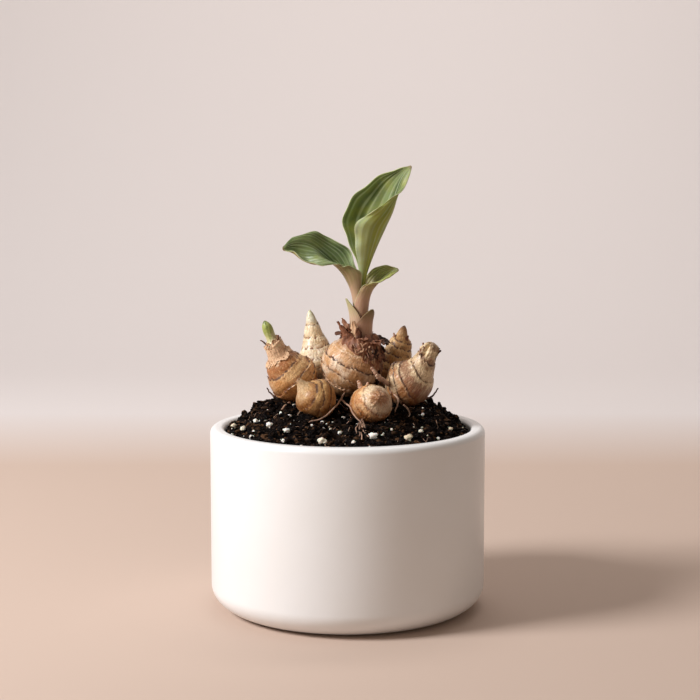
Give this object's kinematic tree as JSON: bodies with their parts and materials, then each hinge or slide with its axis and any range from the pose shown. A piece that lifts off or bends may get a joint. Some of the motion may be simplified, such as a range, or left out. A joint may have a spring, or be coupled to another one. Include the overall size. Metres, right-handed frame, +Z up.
{
  "type": "potted kencur rhizome clump",
  "caption": "Kencur rhizomes half sunk in soil in a plain round pot, with one leafy shoot; the pot stands on its flat foot ring.",
  "frame": {"origin": "centre of the pot's foot, on the surface it stands on", "axes": "+Z up along the pot's axis, -Y the front, +X to the right seen from the front"},
  "size_m": [0.12, 0.12, 0.1931],
  "materials": {
    "ceramic": "satin white glaze on ceramic",
    "soil": "damp crumbly potting soil with white perlite",
    "rhizome_skin": "dry papery tuber skin with darker leaf-scar rings",
    "leaf": "satin green leaf with long parallel veins",
    "sheath": "smooth pinkish beige leaf sheath"
  },
  "bodies": {
    "root": {"pot": "ceramic", "soil": "soil", "rhizome_mother": "rhizome_skin", "rhizome_left_large": "rhizome_skin", "rhizome_right_large": "rhizome_skin", "rhizome_front_left": "rhizome_skin", "rhizome_front_right": "rhizome_skin", "rhizome_back_left": "rhizome_skin", "rhizome_back_right": "rhizome_skin", "leaf_tall": "leaf", "leaf_left": "leaf", "leaf_right": "leaf", "bract_left": "sheath", "bract_right": "sheath"}
  },
  "joints": []
}
